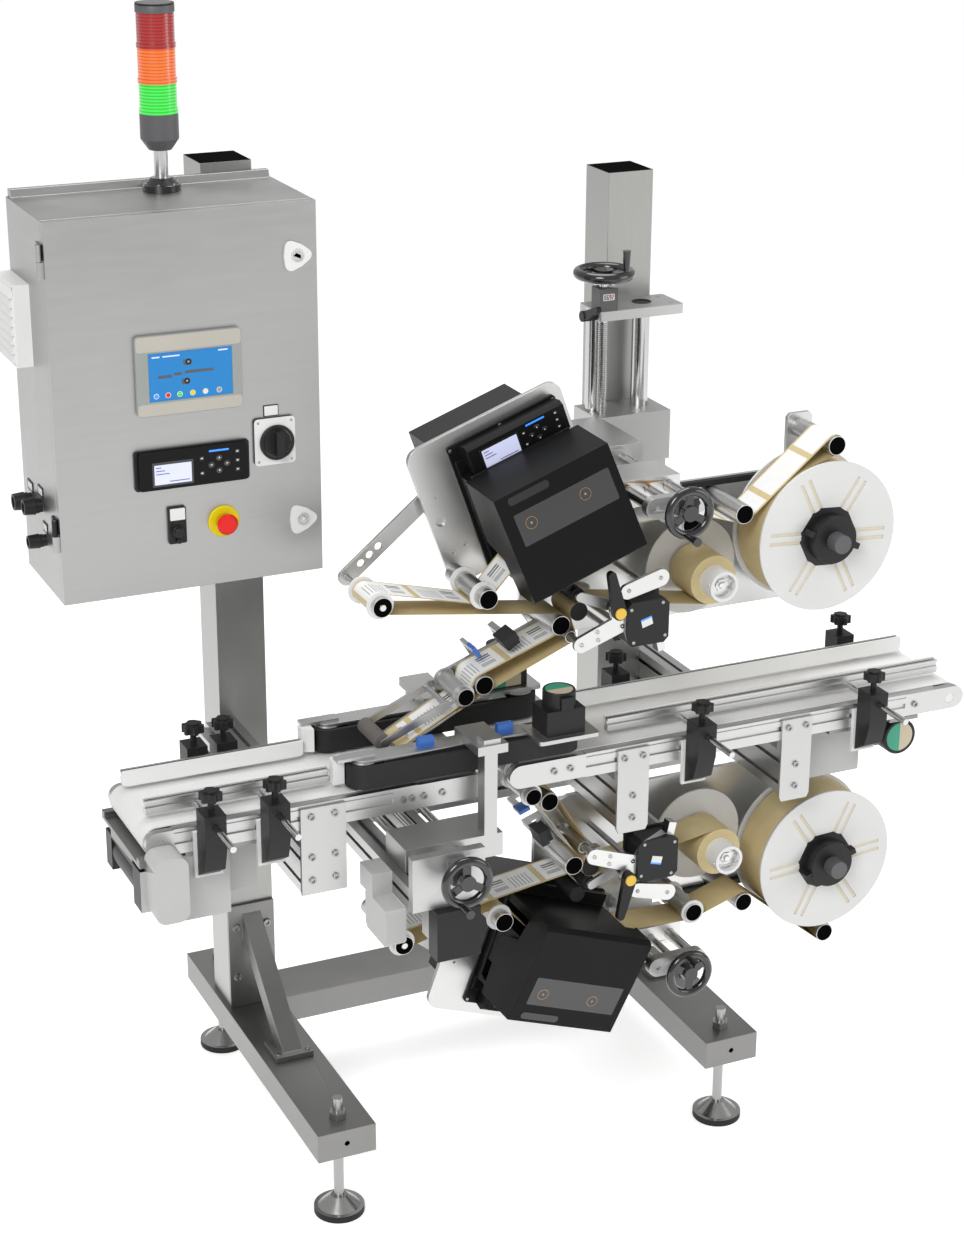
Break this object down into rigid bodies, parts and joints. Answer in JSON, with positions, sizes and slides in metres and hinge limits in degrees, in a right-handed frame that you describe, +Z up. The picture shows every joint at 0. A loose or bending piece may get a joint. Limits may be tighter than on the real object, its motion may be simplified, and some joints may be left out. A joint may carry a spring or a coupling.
{
  "type": "top and bottom labelling machine",
  "caption": "Print-and-apply labelling machine with an upper and a lower label unit over and under a belt conveyor, a control cabinet, a stack light and a screw lift.",
  "frame": {"origin": "floor point in the middle of the machine's footprint", "axes": "+X along the conveyor to the outfeed, +Y from the operator to the back, +Z up"},
  "size_m": [1.758, 1.09, 2.285],
  "materials": {
    "stainless": "fine brushed stainless steel",
    "bright_steel": "ground and polished shaft steel",
    "anodised": "satin natural anodised aluminium",
    "milled": "milled and bead-blasted aluminium",
    "black_metal": "satin black powder coat",
    "cabinet_steel": "brushed stainless sheet",
    "guard_white": "white powder-coated guards and black motors",
    "belt": "white woven conveyor belt",
    "side_belt": "black toothed side belt",
    "black_plastic": "black moulded plastic",
    "gloss_black": "glossy black handwheel plastic",
    "engine_black": "black print engine housing",
    "smoked": "smoked clear window",
    "signal": "coloured lens plastic",
    "estop_red": "red button plastic",
    "roller": "turned aluminium roller",
    "kraft": "backing paper with labels",
    "label_roll": "wound label paper"
  },
  "bodies": {
    "root": {"base_frame": "stainless", "levelling_feet": "black_plastic", "columns": "anodised", "column_braces": "stainless", "cross_rails": "anodised", "hanger_plates": "milled", "conveyor_frames": "anodised", "conveyor_belts": "belt", "conveyor_gearmotors": "guard_white", "guide_brackets": "black_plastic", "cabinet_body": "cabinet_steel", "stack_light": "signal", "lift_frame": "milled", "centring_frame": "milled", "lower_cross_shafts": "bright_steel"},
    "door": {"cabinet_door": "cabinet_steel", "door_fittings": "black_plastic"},
    "lift": {"lift_carriage": "milled", "upper_cross_shafts": "bright_steel"},
    "main_switch_knob": {"main_switch_knob": "black_plastic"},
    "estop_button": {"estop_button": "estop_red"},
    "door_lock_upper": {"door_lock_upper": "black_plastic"},
    "door_lock_lower": {"door_lock_lower": "black_plastic"},
    "lift_handwheel": {"lift_handwheel": "gloss_black"},
    "lift_clamp_lever": {"lift_clamp_lever": "black_plastic"},
    "infeed_front_guide": {"infeed_front_guide": "anodised"},
    "infeed_back_guide": {"infeed_back_guide": "anodised"},
    "outfeed_front_guide": {"outfeed_front_guide": "anodised"},
    "outfeed_back_guide": {"outfeed_back_guide": "anodised"},
    "infeed_drum": {"infeed_drum": "bright_steel"},
    "outfeed_drum": {"outfeed_drum": "bright_steel"},
    "front_side_belt": {"front_side_belt": "side_belt"},
    "back_side_belt": {"back_side_belt": "side_belt"},
    "centring_handwheel": {"centring_handwheel": "gloss_black"},
    "upper_unit": {"upper_head_plate": "milled", "upper_print_engine": "engine_black", "upper_guide_rollers": "roller", "upper_applicator": "milled", "upper_label_web": "kraft"},
    "upper_cross_handwheel": {"upper_cross_handwheel": "gloss_black"},
    "upper_engine_cover": {"upper_engine_cover": "engine_black"},
    "upper_dancer_arm": {"upper_dancer_arm": "milled"},
    "upper_dancer_roller": {"upper_dancer_roller": "roller"},
    "upper_drive_roller": {"upper_drive_roller": "roller"},
    "upper_nip_lever": {"upper_nip_lever": "black_plastic"},
    "upper_reel": {"upper_reel": "label_roll"},
    "upper_rewind": {"upper_rewind": "kraft"},
    "lower_unit": {"lower_head_plate": "milled", "lower_print_engine": "engine_black", "lower_guide_rollers": "roller", "lower_applicator": "milled", "lower_label_web": "kraft"},
    "lower_cross_handwheel": {"lower_cross_handwheel": "gloss_black"},
    "lower_engine_cover": {"lower_engine_cover": "engine_black"},
    "lower_dancer_arm": {"lower_dancer_arm": "milled"},
    "lower_dancer_roller": {"lower_dancer_roller": "roller"},
    "lower_drive_roller": {"lower_drive_roller": "roller"},
    "lower_nip_lever": {"lower_nip_lever": "black_plastic"},
    "lower_reel": {"lower_reel": "label_roll"},
    "lower_rewind": {"lower_rewind": "kraft"}
  },
  "joints": [
    {"name": "door_swing", "type": "hinge", "parent": "root", "child": "door", "pos_m": [-0.856, 0.049, 1.6], "axis": [0, 0, -1], "range_deg": [0, 120]},
    {"name": "main_switch_turn", "type": "hinge", "parent": "door", "child": "main_switch_knob", "pos_m": [-0.437, 0.025, 1.512], "axis": [0, 1, 0], "range_deg": [0, 90]},
    {"name": "stop_press", "type": "slide", "parent": "door", "child": "estop_button", "axis": [0, 1, 0], "range_m": [0, 0.005], "stiffness_N_per_m": 600},
    {"name": "lock_upper_turn", "type": "hinge", "parent": "door", "child": "door_lock_upper", "pos_m": [-0.387, 0.025, 1.854], "axis": [0, -1, 0], "range_deg": [0, 90]},
    {"name": "lock_lower_turn", "type": "hinge", "parent": "door", "child": "door_lock_lower", "pos_m": [-0.387, 0.025, 1.356], "axis": [0, -1, 0], "range_deg": [0, 90]},
    {"name": "lift_wheel_turn", "type": "hinge", "parent": "root", "child": "lift_handwheel", "pos_m": [0.325, 0.213, 1.718], "axis": [0, 0, -1], "range_deg": [-1800, 11700]},
    {"name": "lift_slide", "type": "slide", "parent": "root", "child": "lift", "axis": [0, 0, 1], "range_m": [-0.0205, 0.1305]},
    {"name": "lift_clamp_turn", "type": "hinge", "parent": "root", "child": "lift_clamp_lever", "pos_m": [0.305, 0.215, 1.634], "axis": [1, 0, 0], "range_deg": [0, 90]},
    {"name": "infeed_front_guide_slide", "type": "slide", "parent": "root", "child": "infeed_front_guide", "axis": [0, 1, 0], "range_m": [-0.03, 0.04]},
    {"name": "infeed_back_guide_slide", "type": "slide", "parent": "root", "child": "infeed_back_guide", "axis": [0, 1, 0], "range_m": [-0.04, 0.03]},
    {"name": "outfeed_front_guide_slide", "type": "slide", "parent": "root", "child": "outfeed_front_guide", "axis": [0, 1, 0], "range_m": [-0.03, 0.04]},
    {"name": "outfeed_back_guide_slide", "type": "slide", "parent": "root", "child": "outfeed_back_guide", "axis": [0, 1, 0], "range_m": [-0.04, 0.03]},
    {"name": "infeed_drum_spin", "type": "hinge", "parent": "root", "child": "infeed_drum", "pos_m": [-0.797, -0.205, 0.92], "axis": [0, 1, 0], "continuous": true},
    {"name": "outfeed_drum_spin", "type": "hinge", "parent": "root", "child": "outfeed_drum", "pos_m": [0.846, -0.205, 0.92], "axis": [0, 1, 0], "continuous": true},
    {"name": "centring_wheel_turn", "type": "hinge", "parent": "root", "child": "centring_handwheel", "pos_m": [-0.289, -0.497, 0.825], "axis": [0, 1, 0], "range_deg": [-1083, 363]},
    {"name": "front_belt_slide", "type": "slide", "parent": "root", "child": "front_side_belt", "axis": [0, 1, 0], "range_m": [-0.012, 0.004]},
    {"name": "back_belt_slide", "type": "slide", "parent": "root", "child": "back_side_belt", "axis": [0, 1, 0], "range_m": [-0.0041, 0.0121]},
    {"name": "upper_cross_wheel_turn", "type": "hinge", "parent": "lift", "child": "upper_cross_handwheel", "pos_m": [0.21055, -0.205, 1.409], "axis": [0, 1, 0], "range_deg": [-543, 363]},
    {"name": "upper_cross_slide", "type": "slide", "parent": "lift", "child": "upper_unit", "axis": [0, 1, 0], "range_m": [-0.004, 0.006]},
    {"name": "upper_cover_swing", "type": "hinge", "parent": "upper_unit", "child": "upper_engine_cover", "pos_m": [-0.22146, -0.177, 1.43458], "axis": [-0.9397, 0, -0.342], "range_deg": [0, 90]},
    {"name": "upper_dancer_swing", "type": "hinge", "parent": "upper_unit", "child": "upper_dancer_arm", "pos_m": [-0.192, -0.105, 1.404], "axis": [0, 1, 0], "range_deg": [-20, 20], "stiffness_Nm_per_rad": 4, "deforming": ["upper_label_web"]},
    {"name": "upper_reel_spin", "type": "hinge", "parent": "upper_unit", "child": "upper_reel", "pos_m": [0.576, -0.205, 1.281], "axis": [0, 1, 0], "continuous": true},
    {"name": "upper_rewind_spin", "type": "hinge", "parent": "upper_unit", "child": "upper_rewind", "pos_m": [0.335, -0.205, 1.222], "axis": [0, 1, 0], "continuous": true},
    {"name": "upper_drive_roller_spin", "type": "hinge", "parent": "upper_unit", "child": "upper_drive_roller", "pos_m": [0.051, -0.205, 1.2], "axis": [0, 1, 0], "continuous": true},
    {"name": "upper_dancer_roller_spin", "type": "hinge", "parent": "upper_dancer_arm", "child": "upper_dancer_roller", "pos_m": [-0.35, -0.205, 1.275], "axis": [0, 1, 0], "continuous": true},
    {"name": "upper_nip_lever_turn", "type": "hinge", "parent": "upper_unit", "child": "upper_nip_lever", "pos_m": [0.105, -0.205, 1.21], "axis": [0, 1, 0], "range_deg": [0, 25]},
    {"name": "lower_cross_wheel_turn", "type": "hinge", "parent": "root", "child": "lower_cross_handwheel", "pos_m": [0.24755, -0.205, 0.454], "axis": [0, 1, 0], "range_deg": [-3243, 1083]},
    {"name": "lower_cross_slide", "type": "slide", "parent": "root", "child": "lower_unit", "axis": [0, 1, 0], "range_m": [-0.012, 0.036]},
    {"name": "lower_cover_swing", "type": "hinge", "parent": "lower_unit", "child": "lower_engine_cover", "pos_m": [-0.18446, -0.177, 0.42842], "axis": [0.9397, 0, -0.342], "range_deg": [0, 90]},
    {"name": "lower_dancer_swing", "type": "hinge", "parent": "lower_unit", "child": "lower_dancer_arm", "pos_m": [-0.155, -0.105, 0.459], "axis": [0, 1, 0], "range_deg": [-20, 20], "stiffness_Nm_per_rad": 4, "deforming": ["lower_label_web"]},
    {"name": "lower_reel_spin", "type": "hinge", "parent": "lower_unit", "child": "lower_reel", "pos_m": [0.613, -0.205, 0.582], "axis": [0, 1, 0], "continuous": true},
    {"name": "lower_rewind_spin", "type": "hinge", "parent": "lower_unit", "child": "lower_rewind", "pos_m": [0.372, -0.205, 0.641], "axis": [0, 1, 0], "continuous": true},
    {"name": "lower_drive_roller_spin", "type": "hinge", "parent": "lower_unit", "child": "lower_drive_roller", "pos_m": [0.088, -0.205, 0.663], "axis": [0, 1, 0], "continuous": true},
    {"name": "lower_dancer_roller_spin", "type": "hinge", "parent": "lower_dancer_arm", "child": "lower_dancer_roller", "pos_m": [-0.313, -0.205, 0.588], "axis": [0, 1, 0], "continuous": true},
    {"name": "lower_nip_lever_turn", "type": "hinge", "parent": "lower_unit", "child": "lower_nip_lever", "pos_m": [0.142, -0.205, 0.653], "axis": [0, -1, 0], "range_deg": [0, 25]}
  ],
  "couplings": [
    {"joint": "lift_slide", "follows": "lift_wheel_turn", "m_per_rad": 0.00063662},
    {"joint": "back_belt_slide", "follows": "front_belt_slide", "ratio": -1},
    {"joint": "centring_wheel_turn", "follows": "front_belt_slide", "rad_per_m": 1570.8},
    {"joint": "upper_cross_wheel_turn", "follows": "upper_cross_slide", "rad_per_m": -1570.8},
    {"joint": "upper_rewind_spin", "follows": "upper_reel_spin", "ratio": -2.9381},
    {"joint": "upper_drive_roller_spin", "follows": "upper_reel_spin", "ratio": 7.9167},
    {"joint": "upper_dancer_roller_spin", "follows": "upper_reel_spin", "ratio": -7.5},
    {"joint": "lower_cross_wheel_turn", "follows": "lower_cross_slide", "rad_per_m": -1570.8},
    {"joint": "lower_rewind_spin", "follows": "lower_reel_spin", "ratio": -2.9381},
    {"joint": "lower_drive_roller_spin", "follows": "lower_reel_spin", "ratio": 7.9167},
    {"joint": "lower_dancer_roller_spin", "follows": "lower_reel_spin", "ratio": -7.5}
  ]
}
